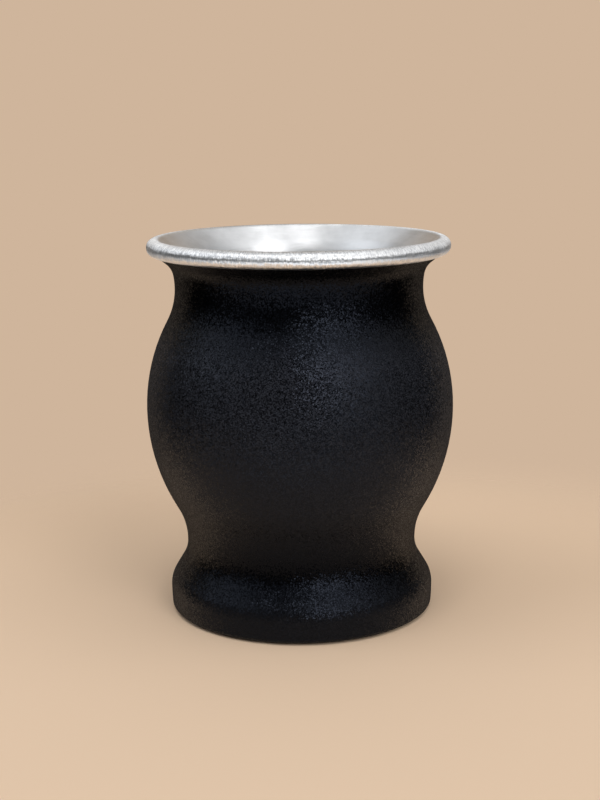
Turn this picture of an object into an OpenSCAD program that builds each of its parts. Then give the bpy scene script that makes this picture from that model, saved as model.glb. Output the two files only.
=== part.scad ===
// Double-walled mate cup: a spun outer shell with a foot, a waist, a belly and a flared lip,
// an inner cup whose edge is rolled over that lip, two seals, and a padded base.
// Millimetres, +Z up. The cup stands on Z = 0 with its axis on Z.

/* [Rim] */
// Overall height, from the table to the top of the rolled rim
cup_h = 100; // [92:0.5:112]
// Outside diameter of the rolled rim
rim_d = 79.7; // [76:0.1:86]
// Thickness of the rolled rim
bead_d = 4.4; // [3.8:0.1:5.4]
// Lean of the flared lip, in degrees from upright
flare_a = 51; // [44:1:58]
// Radius of the bend between the neck and the flared lip, on the outside
flare_r = 5.6; // [4:0.1:7]

/* [Outer shell] */
// Thickness of the shell's sheet
shell_t = 0.7; // [0.5:0.05:0.9]
// Diameter of the neck
neck_d = 65.4; // [62:0.1:68]
// Radius of the gentle curve above the neck's narrowest ring
neck_bow = 19; // [12:0.5:30]
// Turn of that curve before the lip's bend begins, in degrees
neck_turn = 10; // [4:0.5:18]
// Diameter of the belly
belly_d = 81.7; // [76:0.1:90]
// Height of the belly's widest ring
belly_z = 55; // [50:0.1:60]
// Diameter of the waist above the foot
waist_d = 61.7; // [56:0.1:64]
// Height of the waist's narrowest ring
waist_z = 18.6; // [16:0.1:22]
// Diameter of the foot at its widest ring
foot_d = 71.1; // [68:0.1:78]
// Height of the foot's widest ring
foot_z = 6; // [4.5:0.1:8]
// Inward lean of the foot's side at its bottom edge, in degrees
foot_draft = 4.7; // [1:0.1:8]
// Inside radius of the bend at the foot's bottom edge
foot_bend = 0.4; // [0.2:0.1:1]
// Width of the turned-in edge under the foot
foot_lip_w = 3.4; // [2.4:0.1:5]

/* [Shell curves] */
// Part of the belly-to-neck curve that bends outward as the neck
neck_share = 0.28; // [0.15:0.01:0.6]
// Part of the waist-to-belly curve that bends outward as the waist
waist_share = 0.28; // [0.15:0.01:0.6]
// Part of the foot-to-waist curve that bends inward as the foot's shoulder
shoulder_share = 0.4; // [0.2:0.01:0.7]
// How much of the foot-to-waist curve is round: 1 is all arcs, less leaves a straight cone between them
shoulder_full = 0.9; // [0.6:0.01:1]

/* [Inner cup] */
// Thickness of the inner cup's sheet
liner_t = 0.6; // [0.4:0.05:0.8]
// Air gap between the two walls at the neck
air_gap = 1.2; // [0.6:0.1:2]
// Depth from the top of the rim to the inside floor
cup_depth = 82; // [70:0.5:84]
// Inside radius of the bend between the wall and the floor
floor_r = 20; // [8:0.5:26]
// Radius of the bend between the wall and the flared mouth, on the inside
mouth_r = 6.6; // [4:0.2:8]

/* [Seals and base] */
// How far the sealing ring sits back from the edge of the shell's lip
seal_set = 1.2; // [0.8:0.1:2]
// Thickness of the flat ring under the base plate
base_seal_t = 0.6; // [0.4:0.1:1]
// Thickness of the base plate's sheet
base_t = 0.8; // [0.5:0.1:1]
// Inside radius of the bend at the base plate's upturned edge
base_bend = 0.6; // [0.3:0.1:1]
// How far the pad stands below the foot's bottom edge
pad_proud = 0.5; // [0.3:0.1:1.2]
// Rounding of the pad's lower corner
pad_round = 0.3; // [0.1:0.1:0.6]

/* [Clearances] */
// Between the edge of the shell's lip and the inside of the rolled rim
lip_gap = 0.15; // [0.1:0.01:0.25]
// Between the end of the rolled rim and the shell
curl_gap = 0.05; // [0.02:0.01:0.08]
// Round the sealing ring in the rim
seal_fit = 0.05; // [0.02:0.01:0.1]
// Between the base plate's edge and the foot's inside wall
base_fit = 0.2; // [0.1:0.05:0.4]
// Between the pad and the edge that surrounds it
pad_fit = 0.3; // [0.2:0.05:0.6]

/* [Hidden] */
$fn = 128;
// Largest turn between two points on an arc, in degrees
arc_step = 3;
// Points closer together than this count as one
same_point = 1e-6;

// Rolled rim: its centre, its hollow, and the directions along and across the flared lip
bead_r = bead_d / 2;
hollow_r = bead_r - liner_t;
bead_c = [rim_d / 2 - bead_r, cup_h - bead_r];
along = [sin(flare_a), cos(flare_a)];
across = [cos(flare_a), -sin(flare_a)];
// Distances across the lip from the rim's centre, outward and down, to the shell's two faces
lip_out = hollow_r - lip_gap;
lip_in = lip_out - shell_t;

// Main rings of the shell's outside, as [radius, height]
foot_p = [foot_d / 2, foot_z];
waist_p = [waist_d / 2, waist_z];
belly_p = [belly_d / 2, belly_z];
neck_r = neck_d / 2;
lip_p = bead_c + lip_out * across;
bow_w = neck_bow * (1 - cos(neck_turn));
flare_bend = bend_that_fits(lip_p[0] - neck_r - bow_w, neck_turn, flare_r);
flare_x = neck_r + neck_bow - (neck_bow - flare_bend) * cos(neck_turn);
flare_c = [flare_x, bend_height(flare_x, flare_bend, lip_p)];
neck_p = [neck_r, flare_c[1] - (neck_bow - flare_bend) * sin(neck_turn)];

// Foot: the bowed side below the widest ring and the bend at the bottom edge
edge_r = foot_bend + shell_t;
edge_z = pad_proud + edge_r;
side_r = edge_r + (foot_z - edge_z) / sin(foot_draft);
side_c = foot_p - [side_r, 0];
edge_c = side_c + (side_r - edge_r) * [cos(foot_draft), -sin(foot_draft)];
foot_open_r = edge_c[0] + edge_r - foot_lip_w;

// Inner cup
liner_r = neck_r - shell_t - air_gap - liner_t;
floor_z = cup_h - cup_depth;
mouth_p = bead_c - bead_r * across;
mouth_bend = bend_that_fits(mouth_p[0] - liner_r, 0, mouth_r);
mouth_x = liner_r + mouth_bend;
mouth_c = [mouth_x, bend_height(mouth_x, mouth_bend, mouth_p)];

// Base: the flat ring lies on the turned-in edge, the base plate on the ring
ring_z = pad_proud + shell_t;
plate_z = ring_z + base_seal_t;
ring_r = edge_c[0];
plate_r = edge_c[0] + foot_bend - base_fit;
pad_r = foot_open_r - pad_fit;

// Points on an arc of radius r about c, from angle a0 to angle a1
function arc(c, r, a0, a1) =
    let (n = max(1, ceil(abs(a1 - a0) / arc_step)))
    [for (i = [0:n]) let (a = a0 + (a1 - a0) * i / n) c + r * [cos(a), sin(a)]];

// Radius of the bend from angle start to the flared lip, in a wall that steps out by step_w:
// bend, held to what leaves the lip straight as far down as the sealing ring
function bend_that_fits(step_w, start, bend) =
    min(bend, (step_w - seal_set * sin(flare_a)) / (cos(start) - cos(flare_a)));

// Height of the centre, at radius x, of a bend that runs into the flared line through on_line
function bend_height(x, bend, on_line) =
    on_line[1] + ((x - on_line[0]) * cos(flare_a) - bend) / sin(flare_a);

// Sum of the two radii of a curve between two upright ends
function reach(low, high, full) =
    let (dr = abs(high[0] - low[0]), dz = high[1] - low[1])
    full * (dr * dr + dz * dz) / (2 * dr);

// Angle through which each arc of that curve turns
function turn(low, high, full) =
    let (
        sum = reach(low, high, full),
        dr = sum - abs(high[0] - low[0]),
        dz = high[1] - low[1],
        straight = sqrt(max(0, dr * dr + dz * dz - sum * sum))
    )
    atan2(dz, dr) - atan2(straight, sum);

// Curve between two upright ends, moved inward by inset. share is the lower arc's part of the radii.
function s_curve(low, high, share, full, inset) =
    let (
        sum = reach(low, high, full),
        a = turn(low, high, full),
        low_r = share * sum,
        high_r = sum - low_r
    )
    high[0] > low[0]
        ? concat(arc(low + [low_r, 0], low_r + inset, 180, 180 - a),
                 arc(high - [high_r, 0], high_r - inset, -a, 0))
        : concat(arc(low - [low_r, 0], low_r - inset, 0, a),
                 arc(high + [high_r, 0], high_r + inset, 180 + a, 180));

// One face of the shell, from the foot's opening to the lip's edge. inset 0 is the outside.
function shell_face(inset) = concat(
    [[foot_open_r, pad_proud + inset]],
    arc(edge_c, edge_r - inset, -90, -foot_draft),
    arc(side_c, side_r - inset, -foot_draft, 0),
    s_curve(foot_p, waist_p, shoulder_share, shoulder_full, inset),
    s_curve(waist_p, belly_p, waist_share, 1, inset),
    s_curve(belly_p, neck_p, 1 - neck_share, 1, inset),
    arc(neck_p + [neck_bow, 0], neck_bow + inset, 180, 180 - neck_turn),
    arc(flare_c, flare_bend + inset, 180 - neck_turn, 180 - flare_a),
    [lip_p - inset * across]
);

// One face of the inner cup, from the centre of its floor to the end of the rolled rim.
// outset 0 is the face that holds the drink.
function cup_face(outset) =
    let (end_a = -flare_a - acos((lip_out + curl_gap) / (bead_r - outset)))
    concat(
        [[0, floor_z - outset]],
        arc([liner_r - floor_r, floor_z + floor_r], floor_r + outset, -90, 0),
        arc(mouth_c, mouth_bend - outset, 180, 180 - flare_a),
        arc(bead_c, bead_r - outset, 180 - flare_a, end_a)
    );

// A list in reverse order
function reversed(list) = [for (i = [len(list) - 1:-1:0]) list[i]];

// The list without points that repeat the one before
function no_repeats(list) =
    [for (i = [0:len(list) - 1]) if (i == 0 || norm(list[i] - list[i - 1]) > same_point) list[i]];

// A spun sheet between two faces
module spun(face, back) {
    rotate_extrude()
        polygon(no_repeats(concat(face, reversed(back))));
}

module outer_shell() {
    color("#17171a")
        spun(shell_face(0), shell_face(shell_t));
}

module inner_cup() {
    color("#c9c5c0")
        spun(cup_face(0), cup_face(liner_t));
}

// Ring of round section in the parallel gap between the two flared walls
module rim_seal() {
    gap = hollow_r + lip_in;
    centre = bead_c + (lip_in - gap / 2) * across - seal_set * along;
    color("#b8b4ae")
        rotate_extrude()
            translate(centre)
                circle(d = gap - 2 * seal_fit);
}

// Pressed pan with an upturned edge that ends at the foot's widest ring
module base_plate() {
    bend_c = [plate_r - base_t - base_bend, plate_z + base_t + base_bend];
    top = max(foot_z, bend_c[1]);
    under = concat(
        [[0, plate_z]],
        arc(bend_c, base_bend + base_t, -90, 0),
        [[plate_r, top]]
    );
    upper = concat(
        [[0, plate_z + base_t]],
        arc(bend_c, base_bend, -90, 0),
        [[plate_r - base_t, top]]
    );
    color("#9a9894")
        spun(under, upper);
}

// Flat ring between the base plate and the turned-in edge of the foot
module base_seal() {
    color("#5a5856")
        rotate_extrude()
            translate([foot_open_r, ring_z])
                square([ring_r - foot_open_r, base_seal_t]);
}

// Round pad under the base plate, standing a little below the foot's edge
module foot_pad() {
    outline = concat(
        [[0, 0]],
        arc([pad_r - pad_round, pad_round], pad_round, -90, 0),
        [[pad_r, plate_z], [0, plate_z]]
    );
    color("#202022")
        rotate_extrude()
            polygon(outline);
}

outer_shell();
inner_cup();
rim_seal();
base_plate();
base_seal();
foot_pad();
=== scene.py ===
"""Looks of a double-walled mate cup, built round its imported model. Metres, +Z up."""

import math

import bpy
from mathutils import Matrix, Vector


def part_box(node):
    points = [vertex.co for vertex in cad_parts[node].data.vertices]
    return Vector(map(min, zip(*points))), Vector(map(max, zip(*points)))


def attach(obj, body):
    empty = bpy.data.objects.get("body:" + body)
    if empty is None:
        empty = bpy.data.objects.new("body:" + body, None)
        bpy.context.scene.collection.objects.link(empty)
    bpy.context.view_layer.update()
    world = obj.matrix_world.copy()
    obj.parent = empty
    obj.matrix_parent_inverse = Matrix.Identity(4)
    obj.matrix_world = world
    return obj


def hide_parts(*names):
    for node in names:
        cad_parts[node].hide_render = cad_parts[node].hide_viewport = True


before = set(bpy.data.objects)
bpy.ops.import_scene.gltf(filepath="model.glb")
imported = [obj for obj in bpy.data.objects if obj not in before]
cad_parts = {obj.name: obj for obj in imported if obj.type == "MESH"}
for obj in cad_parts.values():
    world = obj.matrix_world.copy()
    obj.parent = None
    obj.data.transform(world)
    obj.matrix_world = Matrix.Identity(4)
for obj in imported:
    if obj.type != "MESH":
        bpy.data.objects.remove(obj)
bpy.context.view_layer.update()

MM = 0.001

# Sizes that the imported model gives
CUP_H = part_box("inner_cup")[1].z
RIM_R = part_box("inner_cup")[1].x
BELLY_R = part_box("outer_shell")[1].x
SHELL_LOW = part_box("outer_shell")[0].z
PAD_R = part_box("foot_pad")[1].x
PAD_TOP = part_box("foot_pad")[1].z

# The rest of the cup's sizes, as in the model's source
BEAD_R = 2.2 * MM
FLARE_A = math.radians(51)
FLARE_R = 5.6 * MM
SHELL_T = 0.7 * MM
NECK_R = 32.7 * MM
NECK_BOW = 19 * MM
NECK_TURN = math.radians(10)
BELLY_Z = 55 * MM
WAIST_R = 30.85 * MM
WAIST_Z = 18.6 * MM
FOOT_R = 35.55 * MM
FOOT_Z = 6 * MM
FOOT_DRAFT = math.radians(4.7)
FOOT_BEND = 0.4 * MM
FOOT_LIP_W = 3.4 * MM
NECK_SHARE = 0.28
WAIST_SHARE = 0.28
SHOULDER_SHARE = 0.4
SHOULDER_FULL = 0.9
LINER_T = 0.6 * MM
AIR_GAP = 1.2 * MM
CUP_DEPTH = 82 * MM
FLOOR_R = 20 * MM
MOUTH_R = 6.6 * MM
LIP_GAP = 0.15 * MM
CURL_GAP = 0.05 * MM
PAD_ROUND = 0.3 * MM

# How finely round forms are cut
SEGMENTS = 288
ARC_STEP = math.radians(3)
SHARP_EDGE = math.radians(40)

# Camera, from the photograph's perspective: place, downward tilt, roll and lens
CAMERA_AT = (0, -0.3854, 0.137)
CAMERA_TILT = math.radians(11.844)
CAMERA_ROLL = math.radians(-0.541)
CAMERA_LENS = 66.06


# Outlines: points are vectors of radius and height

def arc(centre, radius, start, end):
    """Points on an arc about centre, from angle start to angle end."""
    count = max(1, math.ceil(abs(end - start) / ARC_STEP))
    angles = [start + (end - start) * i / count for i in range(count + 1)]
    return [centre + radius * Vector((math.cos(a), math.sin(a))) for a in angles]


def s_curve(low, high, share, full, inset):
    """Two arcs between upright ends, moved inward by inset. share is the lower arc's part of the radii."""
    rise = high.y - low.y
    step = abs(high.x - low.x)
    both = full * (step**2 + rise**2) / (2 * step)
    across = both - step
    straight = math.sqrt(max(0, across**2 + rise**2 - both**2))
    turn = math.atan2(rise, across) - math.atan2(straight, both)
    low_r = share * both
    high_r = both - low_r
    if high.x > low.x:
        lower = arc(low + Vector((low_r, 0)), low_r + inset, math.pi, math.pi - turn)
        upper = arc(high - Vector((high_r, 0)), high_r - inset, -turn, 0)
    else:
        lower = arc(low - Vector((low_r, 0)), low_r - inset, 0, turn)
        upper = arc(high + Vector((high_r, 0)), high_r + inset, math.pi + turn, math.pi)
    return lower + upper


def bend_centre(radius, bend, on_line):
    """Centre, at that radius, of a bend that runs into the flared line through on_line."""
    slope = (radius - on_line.x) * math.cos(FLARE_A) - bend
    return Vector((radius, on_line.y + slope / math.sin(FLARE_A)))


def straight_run(start, end, step):
    """Points strictly between start and end, about step apart."""
    count = max(1, round((end - start).length / step))
    return [start.lerp(end, i / count) for i in range(1, count)]


BEAD_C = Vector((RIM_R - BEAD_R, CUP_H - BEAD_R))
ACROSS = Vector((math.cos(FLARE_A), -math.sin(FLARE_A)))
LIP_OUT = BEAD_R - LINER_T - LIP_GAP
LIP_P = BEAD_C + LIP_OUT * ACROSS
EDGE_R = FOOT_BEND + SHELL_T
LINER_R = NECK_R - SHELL_T - AIR_GAP - LINER_T
INSIDE_Z = CUP_H - CUP_DEPTH
MOUTH_P = BEAD_C - BEAD_R * ACROSS
RUN_STEP = 1.5 * MM


def shell_face(inset):
    """One face of the outer shell, from the foot's opening to the lip's edge."""
    foot, waist = Vector((FOOT_R, FOOT_Z)), Vector((WAIST_R, WAIST_Z))
    edge_z = SHELL_LOW + EDGE_R
    side_r = EDGE_R + (FOOT_Z - edge_z) / math.sin(FOOT_DRAFT)
    side_c = foot - Vector((side_r, 0))
    edge_c = side_c + (side_r - EDGE_R) * Vector((math.cos(FOOT_DRAFT), -math.sin(FOOT_DRAFT)))
    opening = Vector((edge_c.x + EDGE_R - FOOT_LIP_W, SHELL_LOW + inset))
    spare_r = NECK_BOW - FLARE_R
    flare_c = bend_centre(NECK_R + NECK_BOW - spare_r * math.cos(NECK_TURN), FLARE_R, LIP_P)
    neck = Vector((NECK_R, flare_c.y - spare_r * math.sin(NECK_TURN)))
    belly = Vector((BELLY_R, BELLY_Z))
    return (
        [opening]
        + arc(edge_c, EDGE_R - inset, -math.pi / 2, -FOOT_DRAFT)
        + arc(side_c, side_r - inset, -FOOT_DRAFT, 0)
        + s_curve(foot, waist, SHOULDER_SHARE, SHOULDER_FULL, inset)
        + s_curve(waist, belly, WAIST_SHARE, 1, inset)
        + s_curve(belly, neck, 1 - NECK_SHARE, 1, inset)
        + arc(neck + Vector((NECK_BOW, 0)), NECK_BOW + inset, math.pi, math.pi - NECK_TURN)
        + arc(flare_c, FLARE_R + inset, math.pi - NECK_TURN, math.pi - FLARE_A)
        + [LIP_P - inset * ACROSS]
    )


def cup_face(outset):
    """One face of the inner cup, from the centre of its floor to the end of the rolled rim."""
    centre = Vector((0, INSIDE_Z - outset))
    floor_bend = arc(Vector((LINER_R - FLOOR_R, INSIDE_Z + FLOOR_R)), FLOOR_R + outset, -math.pi / 2, 0)
    mouth_c = bend_centre(LINER_R + MOUTH_R, MOUTH_R, MOUTH_P)
    mouth_bend = arc(mouth_c, MOUTH_R - outset, math.pi, math.pi - FLARE_A)
    curl_end = -FLARE_A - math.acos((LIP_OUT + CURL_GAP) / (BEAD_R - outset))
    bead = arc(BEAD_C, BEAD_R - outset, math.pi - FLARE_A, curl_end)
    return (
        [centre]
        + straight_run(centre, floor_bend[0], RUN_STEP)
        + floor_bend
        + straight_run(floor_bend[-1], mouth_bend[0], RUN_STEP)
        + mouth_bend
        + straight_run(mouth_bend[-1], bead[0], RUN_STEP)
        + bead
    )


def pad_outline():
    """The pad's section, from the middle of its underside to the middle of its top."""
    corner = Vector((PAD_R - PAD_ROUND, PAD_ROUND))
    return (
        [Vector((0, 0))]
        + straight_run(Vector((0, 0)), Vector((corner.x, 0)), RUN_STEP)
        + arc(corner, PAD_ROUND, -math.pi / 2, 0)
        + [Vector((PAD_R, PAD_TOP)), Vector((0, PAD_TOP))]
    )


# Meshes

def without_repeats(points):
    """The points without those that repeat the one before."""
    kept = [points[0]]
    for point in points[1:]:
        if (point - kept[-1]).length > 1e-7:
            kept.append(point)
    return kept


def spun(name, outline, ring):
    """A mesh spun about Z.

    ring joins the outline's last point to its first; otherwise both ends lie on the axis. The point attribute
    "along" is the length of the outline up to the point.
    """
    points = without_repeats(outline)
    along = [0.0]
    for before, after in zip(points, points[1:]):
        along.append(along[-1] + (after - before).length)
    verts, rows, lengths = [], [], []
    for point, length in zip(points, along):
        turns = SEGMENTS if point.x > 0 else 1
        rows.append([len(verts) + i for i in range(turns)])
        for i in range(turns):
            angle = 2 * math.pi * i / SEGMENTS
            verts.append((point.x * math.sin(angle), point.x * math.cos(angle), point.y))
            lengths.append(length)
    pairs = list(range(len(points) - 1)) + ([len(points) - 1] if ring else [])
    total = along[-1] + ((points[0] - points[-1]).length if ring else 0)
    faces, uvs = [], []
    for k in pairs:
        here, there = rows[k], rows[(k + 1) % len(rows)]
        v_here, v_there = along[k] / total, (along[k + 1] if k + 1 < len(along) else total) / total
        for i in range(SEGMENTS):
            j = (i + 1) % SEGMENTS
            u_i, u_j = i / SEGMENTS, (i + 1) / SEGMENTS
            corners = [(here[i % len(here)], (u_i, v_here)), (there[i % len(there)], (u_i, v_there)),
                       (there[j % len(there)], (u_j, v_there)), (here[j % len(here)], (u_j, v_here))]
            if len(here) == 1:
                corners.pop()
            elif len(there) == 1:
                corners.pop(2)
            faces.append([vert for vert, uv in corners])
            uvs.extend(value for vert, uv in corners for value in uv)
    mesh = bpy.data.meshes.new(name)
    mesh.from_pydata(verts, [], faces)
    mesh.uv_layers.new(name="OFBake").data.foreach_set("uv", uvs)
    mesh.attributes.new("along", "FLOAT", "POINT").data.foreach_set("value", lengths)
    mesh.shade_smooth()
    mesh.set_sharp_from_angle(angle=SHARP_EDGE)
    piece = bpy.data.objects.new(name, mesh)
    bpy.context.scene.collection.objects.link(piece)
    return piece


# Materials

def node(tree, kind, inputs=None, **settings):
    """A shader node with its settings, and its inputs set to values or linked to other nodes' outputs."""
    made = tree.nodes.new("ShaderNode" + kind)
    for name, value in settings.items():
        setattr(made, name, value)
    for socket, value in (inputs or {}).items():
        if isinstance(value, bpy.types.NodeSocket):
            tree.links.new(value, made.inputs[socket])
        else:
            made.inputs[socket].default_value = value
    return made


def math_of(tree, operation, first, second=0.0, third=0.0):
    """The outcome of one sum of two numbers, or of three."""
    return node(tree, "Math", {0: first, 1: second, 2: third}, operation=operation).outputs[0]


def ramp(tree, value, start, end, at_start, at_end, smooth=False):
    """value, carried from start..end to at_start..at_end and held at the ends."""
    inputs = {"Value": value, "From Min": start, "From Max": end, "To Min": at_start, "To Max": at_end}
    kind = "SMOOTHSTEP" if smooth else "LINEAR"
    return node(tree, "MapRange", inputs, interpolation_type=kind).outputs[0]


def noise(tree, place, scale, detail, roughness=0.55):
    """Noise at a place, scale cells to the metre."""
    inputs = {"Vector": place, "Scale": scale, "Detail": detail, "Roughness": roughness}
    return node(tree, "TexNoise", inputs).outputs["Fac"]


def mixed(tree, share, first, second):
    """A blend of two colours."""
    made = node(tree, "Mix", data_type="RGBA")
    for socket, value in ((0, share), (6, first), (7, second)):
        if isinstance(value, bpy.types.NodeSocket):
            tree.links.new(value, made.inputs[socket])
        else:
            made.inputs[socket].default_value = value
    return made.outputs[2]


def bumped(tree, height, depth, over=None):
    """Normals roughened by a height from 0 to 1 that is depth deep, over normals already roughened."""
    inputs = {"Height": height, "Distance": depth, "Strength": 1}
    if over:
        inputs["Normal"] = over
    return node(tree, "Bump", inputs).outputs["Normal"]


def material(name, **sockets):
    """A new node material, its tree and its Principled shader, with the shader's plain values set."""
    made = bpy.data.materials.new(name)
    made.use_nodes = True
    shader = made.node_tree.nodes["Principled BSDF"]
    for socket, value in sockets.items():
        shader.inputs[socket.replace("_", " ")].default_value = value
    return made, made.node_tree, shader


def feed(tree, shader, **sockets):
    """Links outputs to the shader's sockets."""
    for socket, output in sockets.items():
        tree.links.new(output, shader.inputs[socket.replace("_", " ")])


def wear(piece, made):
    """Gives a piece its one material."""
    piece.data.materials.clear()
    piece.data.materials.append(made)


def round_place(tree, across, along):
    """A place that runs round the axis and along the outline, in cells across by along metres."""
    place = node(tree, "TexCoord").outputs["Object"]
    flat = node(tree, "VectorMath", {0: place, 1: (1, 1, 0)}, operation="MULTIPLY").outputs[0]
    ring = node(tree, "VectorMath", {0: flat}, operation="NORMALIZE").outputs[0]
    on_ring = node(tree, "VectorMath", {0: ring, "Scale": RIM_R / across}, operation="SCALE").outputs[0]
    length = node(tree, "Attribute", attribute_name="along").outputs["Fac"]
    lift = node(tree, "CombineXYZ", {"Z": math_of(tree, "DIVIDE", length, along)}).outputs[0]
    return node(tree, "VectorMath", {0: on_ring, 1: lift}, operation="ADD").outputs[0]


def facets(tree, place, lean):
    """Normals of small facets, one to each cell of a place, that lean at random, and a random number each."""
    colour = node(tree, "TexVoronoi", {"Vector": place, "Scale": 1}).outputs["Color"]
    middle = node(tree, "VectorMath", {0: colour, 1: (0.5, 0.5, 0.5)}, operation="SUBTRACT").outputs[0]
    leaning = node(tree, "VectorMath", {0: middle, "Scale": lean}, operation="SCALE").outputs[0]
    level = node(tree, "NewGeometry").outputs["Normal"]
    tilted = node(tree, "VectorMath", {0: level, 1: leaning}, operation="ADD").outputs[0]
    normal = node(tree, "VectorMath", {0: tilted}, operation="NORMALIZE").outputs[0]
    return normal, node(tree, "SeparateXYZ", {0: colour}).outputs["X"]


# How pale the coat is painted on the foot and on the belly: painted light there, and painted shade in the
# grooves between them, which are left black because in the photograph they are darker than the studio light
# leaves them.
FOOT_PAINTED_LIGHT = 0.28
BELLY_PAINTED_LIGHT = 0.57

# How far above the foot's and below the waist's rings, and round the belly's, those painted tones of light
# and shade reach and fade
FOOT_FADE = 7 * MM
WAIST_FADE = 5 * MM
BELLY_HALF = 15 * MM
BELLY_FADE = 10 * MM

# The coat's grain: the size of its facets and how far they lean
GRAIN = 0.25 * MM
GRAIN_LEAN = 0.42


def painted_coat_shading(tree, height):
    """How pale the coat is painted at a height: painted shade, black, at the waist and the neck; painted
    light, paler, on the foot and the belly.
    """
    belly_top = BELLY_Z + BELLY_HALF
    foot = ramp(tree, height, FOOT_Z, FOOT_Z + FOOT_FADE, FOOT_PAINTED_LIGHT, 0, smooth=True)
    rise = ramp(tree, height, WAIST_Z - WAIST_FADE, BELLY_Z - BELLY_HALF, 0, BELLY_PAINTED_LIGHT, smooth=True)
    fall = ramp(tree, height, belly_top, belly_top + BELLY_FADE, 1, 0, smooth=True)
    return math_of(tree, "MULTIPLY_ADD", rise, fall, foot)


def black_coat():
    """Matte black powder coat: leaning facets, some shinier and paler, duller where seen at a slant, with
    painted light on the foot and belly and painted shade at the waist and neck.
    """
    made, tree, shader = material("black_coat", Specular_IOR_Level=0.134, Specular_Tint=(0.64, 0.74, 1, 1))
    place = node(tree, "TexCoord").outputs["Object"]
    cells = node(tree, "VectorMath", {0: place, "Scale": 1 / GRAIN}, operation="SCALE").outputs[0]
    grain, speck = facets(tree, cells, GRAIN_LEAN)
    height = node(tree, "SeparateXYZ", {0: place}).outputs["Z"]
    # Painted light on the foot and belly, painted shade at the waist and neck
    painted_shading = painted_coat_shading(tree, height)
    # Specks stand out more above the belly's middle, as in the photograph: a painted sparkle where the light
    # falls on the belly
    painted_sparkle_strength = ramp(tree, height, BELLY_Z - 10 * MM, BELLY_Z + 5 * MM, 0.5, 1.4)
    dust = math_of(tree, "MULTIPLY_ADD", math_of(tree, "SUBTRACT", speck, 0.5), painted_sparkle_strength, 0.5)
    pale = math_of(tree, "MULTIPLY", dust, painted_shading)
    satin = ramp(tree, speck, 0, 1, 0.33, 0.13)
    edge = ramp(tree, node(tree, "LayerWeight", {"Blend": 0.5}).outputs["Facing"], 0.45, 0.9, 0, 0.45)
    feed(tree, shader,
         Base_Color=mixed(tree, pale, (0.0005, 0.0005, 0.0006, 1), (0.038, 0.041, 0.0515, 1)),
         Roughness=math_of(tree, "ADD", satin, edge),
         Normal=grain)
    return made


def bare_metal():
    """Stainless steel: spun inside, which draws its highlights up and down, and sanded across the rolled rim.

    The rim's lower half is painted cooler and paler than its top, a painted reflection, so that the tan paper
    that it mirrors shows less, as in the photograph.
    """
    made, tree, shader = material("bare_metal", Metallic=1, Anisotropic=0.8, Anisotropic_Rotation=0.25)
    place = node(tree, "TexCoord").outputs["Object"]
    sanded = node(tree, "Attribute", attribute_name="sanded").outputs["Fac"]
    scratches = round_place(tree, 0.24 * MM, 0.7 * MM)
    rim, speck = facets(tree, scratches, math_of(tree, "MULTIPLY", sanded, 0.24))
    ring = node(tree, "Tangent", direction_type="RADIAL", axis="Z").outputs[0]
    level = node(tree, "NewGeometry").outputs["Normal"]
    across = node(tree, "VectorMath", {0: level, 1: ring}, operation="CROSS_PRODUCT").outputs[0]
    brushed = node(tree, "Mix", {0: sanded, 4: ring, 5: across}, data_type="VECTOR").outputs[1]
    smears = noise(tree, round_place(tree, 14 * MM, 1.6 * MM), 1, 3)
    cloud = ramp(tree, noise(tree, place, 150, 3), 0.3, 0.7, 0, 1)
    steel = mixed(tree, cloud, (0.73, 0.738, 0.75, 1), (0.92, 0.928, 0.94, 1))
    scratched = mixed(tree, speck, (0.62, 0.63, 0.645, 1), (0.98, 0.985, 0.99, 1))
    # Painted reflection: cooler and paler colours for the rim's lower half
    painted_cool_reflection = mixed(tree, speck, (0.8, 0.86, 0.94, 1), (1, 1, 1, 1))
    height = node(tree, "SeparateXYZ", {0: place}).outputs["Z"]
    painted_reflection_mask = ramp(tree, height, BEAD_C.y - 0.6 * MM, BEAD_C.y + 0.4 * MM, 1, 0)
    feed(tree, shader,
         Base_Color=mixed(tree, sanded, steel, mixed(tree, painted_reflection_mask, scratched, painted_cool_reflection)),
         Roughness=ramp(tree, cloud, 0, 1, 0.42, 0.52),
         Normal=bumped(tree, smears, 0.16 * MM, rim),
         Tangent=brushed)
    return made


def pad_rubber():
    """Matte black rubber with a fine moulded grain and dusty patches."""
    made, tree, shader = material("pad", Specular_IOR_Level=0.3)
    place = node(tree, "TexCoord").outputs["Object"]
    dust = noise(tree, place, 150, 4)
    feed(tree, shader,
         Base_Color=mixed(tree, dust, (0.012, 0.012, 0.013, 1), (0.03, 0.029, 0.028, 1)),
         Roughness=ramp(tree, dust, 0.3, 0.7, 0.62, 0.82),
         Normal=bumped(tree, noise(tree, place, 1800, 2), 0.06 * MM))
    return made


def silicone():
    """Milky silicone, a little uneven."""
    made, tree, shader = material("seal", Specular_IOR_Level=0.4)
    place = node(tree, "TexCoord").outputs["Object"]
    cloud = noise(tree, place, 220, 3)
    feed(tree, shader,
         Base_Color=mixed(tree, cloud, (0.55, 0.53, 0.5, 1), (0.65, 0.63, 0.6, 1)),
         Roughness=ramp(tree, cloud, 0.3, 0.7, 0.45, 0.6),
         Normal=bumped(tree, noise(tree, place, 900, 2), 0.02 * MM))
    return made


def pressed_sheet():
    """Plain pressed steel with a rolled grain."""
    made, tree, shader = material("base_metal", Metallic=1)
    place = node(tree, "TexCoord").outputs["Object"]
    drawn = node(tree, "VectorMath", {0: place, 1: (60, 3500, 60)}, operation="MULTIPLY").outputs[0]
    lines = noise(tree, drawn, 1, 2)
    feed(tree, shader,
         Base_Color=mixed(tree, lines, (0.54, 0.53, 0.51, 1), (0.66, 0.65, 0.63, 1)),
         Roughness=ramp(tree, lines, 0.3, 0.7, 0.34, 0.44),
         Normal=bumped(tree, lines, 0.004 * MM))
    return made


# Pieces

def stand_in(piece, made, name):
    """Puts a piece with its material in place of a node of the model."""
    wear(piece, made)
    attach(piece, "root")
    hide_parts(name)


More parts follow.
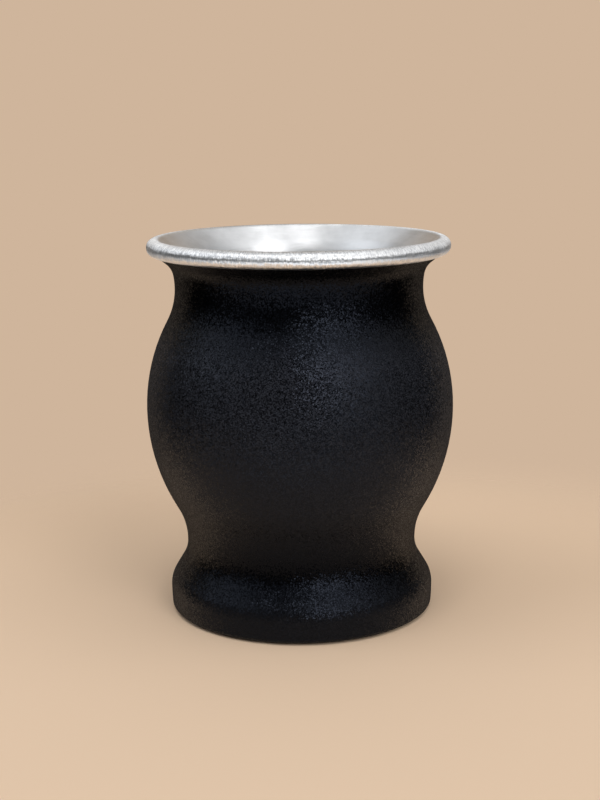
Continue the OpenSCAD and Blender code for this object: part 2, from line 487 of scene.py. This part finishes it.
def mark_sanded(piece):
    """Writes the point attribute "sanded": 1 on the rolled rim, fading to 0 on its inner side."""
    shares = []
    for vert in piece.data.vertices:
        out = Vector((math.hypot(vert.co.x, vert.co.y), vert.co.z)) - BEAD_C
        reach = (out.x + BEAD_R * ACROSS.x) / (BEAD_R * ACROSS.x)
        shares.append(min(1, max(0, reach)) if out.length < 1.05 * BEAD_R else 0)
    piece.data.attributes.new("sanded", "FLOAT", "POINT").data.foreach_set("value", shares)


shell = spun("shell", shell_face(0) + shell_face(SHELL_T)[::-1], ring=True)
stand_in(shell, black_coat(), "outer_shell")

liner = spun("liner", cup_face(LINER_T) + cup_face(0)[::-1], ring=False)
mark_sanded(liner)
stand_in(liner, bare_metal(), "inner_cup")

pad = spun("pad", pad_outline(), ring=False)
stand_in(pad, pad_rubber(), "foot_pad")

seal_made = silicone()
wear(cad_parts["rim_seal"], seal_made)
wear(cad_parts["base_seal"], seal_made)
wear(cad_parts["base_plate"], pressed_sheet())

# Stage: a sheet of pale paper, which fades into the even backdrop that the camera sees round it

PAPER_R = 0.26
PAPER_FRONT = (0.785, 0.585, 0.418, 1)
# The back colour is painted darker than the front, as painted shade towards the back
PAPER_BACK_SHADED = (0.73, 0.536, 0.374, 1)
BACKDROP = (0.624, 0.462, 0.332, 1)
PAPER_SIDES = 72

# Where the paper turns from its front to its darker back colour along Y, which is painted shade, where it
# fades round a point, and where its front edge fades along Y
PAPER_SHADE_TURN = (-0.06, 0.1)
PAPER_MIDDLE = (0, -0.04, 0)
PAPER_FADE = (0.12, 0.22)
PAPER_EDGE = (-0.16, -0.12)


def paper():
    """Pale paper with a fading edge, painted darker towards the back as shade."""
    made, tree, shader = material("paper", Roughness=0.9, Specular_IOR_Level=0.1)
    place = node(tree, "TexCoord").outputs["Object"]
    along = node(tree, "SeparateXYZ", {0: place}).outputs["Y"]
    # Painted shade: the paper darkens towards the back
    painted_back_shade = ramp(tree, along, *PAPER_SHADE_TURN, 0, 1, smooth=True)
    distance = node(tree, "VectorMath", {0: place, 1: PAPER_MIDDLE}, operation="DISTANCE").outputs["Value"]
    feed(tree, shader,
         Base_Color=mixed(tree, painted_back_shade, PAPER_FRONT, PAPER_BACK_SHADED),
         Alpha=math_of(tree, "MULTIPLY", ramp(tree, distance, *PAPER_FADE, 1, 0, smooth=True),
                       ramp(tree, along, *PAPER_EDGE, 0, 1, smooth=True)))
    return made


def floor_disc():
    """The paper's round sheet."""
    angles = [2 * math.pi * i / PAPER_SIDES for i in range(PAPER_SIDES)]
    rim = [(PAPER_R * math.cos(a), PAPER_R * math.sin(a), 0) for a in angles]
    mesh = bpy.data.meshes.new("floor")
    mesh.from_pydata(rim, [], [tuple(range(len(rim)))])
    piece = bpy.data.objects.new("floor", mesh)
    bpy.context.scene.collection.objects.link(piece)
    wear(piece, paper())
    return piece


floor_disc()

# Light: an overhead glow and soft boxes in the world. A box has the bearing of its middle (0
# towards the camera, positive to the right), half its width, its lower and upper edge, all in degrees, its
# level and its tint.

NEUTRAL = (1, 1, 1)
COOL = (0.95, 1, 1.06)
WARM = (1.2, 1, 0.8)
OVERHEAD_LEVEL = 0.7
OVERHEAD_HALF = 55
OVERHEAD_FADE = 30
BOX_FADE = 10
BOXES = {
    "key, high in front": (-15, 20, 60, 85, 5, NEUTRAL),
    "window, right of the camera": (30, 15, 15, 40, 5.5, NEUTRAL),
    "soft box on the left": (-80, 30, 20, 60, 1.1, COOL),
    "fill on the right": (75, 35, 25, 75, 0.6, NEUTRAL),
    "wall behind": (180, 45, -90, 45, 0.22, WARM),
    "table in front, past the paper": (0, 70, -80, -15, 1.5, NEUTRAL),
}

# The part of the backdrop that mirror rays see: low behind the cup, and not at its full strength, at which
# the rim's ends vanish into it
MIRRORED_HALF = 40
MIRRORED_TOP = 20
MIRRORED_FADE = 15
MIRRORED_SHARE = 0.35


def studio():
    """A world lit by the soft boxes, which the camera sees as an even backdrop."""
    made = bpy.data.worlds.new("studio")
    made.use_nodes = True
    tree = made.node_tree
    toward = node(tree, "TexCoord").outputs["Generated"]
    flat = node(tree, "VectorMath", {0: toward, 1: (1, 1, 0)}, operation="MULTIPLY").outputs[0]
    bearing = node(tree, "VectorMath", {0: flat}, operation="NORMALIZE").outputs[0]
    height = math_of(tree, "ARCSINE", node(tree, "SeparateXYZ", {0: toward}).outputs["Z"])

    def away(vector, axis):
        near = node(tree, "VectorMath", {0: vector, 1: axis}, operation="DOT_PRODUCT").outputs["Value"]
        return math_of(tree, "ARCCOSINE", near)

    def edge(value, middle, fade, at_start, at_end):
        start, end = math.radians(middle - fade), math.radians(middle + fade)
        return ramp(tree, value, start, end, at_start, at_end, smooth=True)

    def tinted(tint, level):
        return node(tree, "VectorMath", {0: tint, "Scale": level}, operation="SCALE").outputs[0]

    overhead = edge(away(toward, (0, 0, 1)), OVERHEAD_HALF, OVERHEAD_FADE, OVERHEAD_LEVEL, 0)
    total = tinted(NEUTRAL, overhead)
    for middle, half, lower, upper, level, tint in BOXES.values():
        turn = math.radians(middle)
        off = away(bearing, (math.sin(turn), -math.cos(turn), 0))
        wide = edge(off, half, BOX_FADE, level, 0)
        above, below = edge(height, lower, BOX_FADE, 0, 1), edge(height, upper, BOX_FADE, 1, 0)
        tall = math_of(tree, "MULTIPLY", above, below)
        box = tinted(tint, math_of(tree, "MULTIPLY", wide, tall))
        total = node(tree, "VectorMath", {0: total, 1: box}, operation="ADD").outputs[0]
    path = node(tree, "LightPath").outputs
    wide = edge(away(bearing, (0, 1, 0)), MIRRORED_HALF, MIRRORED_FADE, MIRRORED_SHARE, 0)
    behind = math_of(tree, "MULTIPLY", wide, edge(height, MIRRORED_TOP, MIRRORED_FADE, 1, 0))
    mirrored = math_of(tree, "MULTIPLY", path["Is Glossy Ray"], behind)
    through = math_of(tree, "MAXIMUM", path["Is Camera Ray"], path["Is Transmission Ray"])
    seen = math_of(tree, "MAXIMUM", through, mirrored)
    tree.links.new(mixed(tree, seen, total, BACKDROP), tree.nodes["Background"].inputs["Color"])
    return made


bpy.context.scene.world = studio()

camera_data = bpy.data.cameras.new("camera")
camera_data.lens = CAMERA_LENS
camera = bpy.data.objects.new("camera", camera_data)
bpy.context.scene.collection.objects.link(camera)
turn = Matrix.Rotation(math.pi / 2 - CAMERA_TILT, 4, "X") @ Matrix.Rotation(CAMERA_ROLL, 4, "Z")
camera.matrix_world = Matrix.Translation(CAMERA_AT) @ turn
bpy.context.scene.camera = camera
bpy.context.scene.view_settings.view_transform = "Standard"
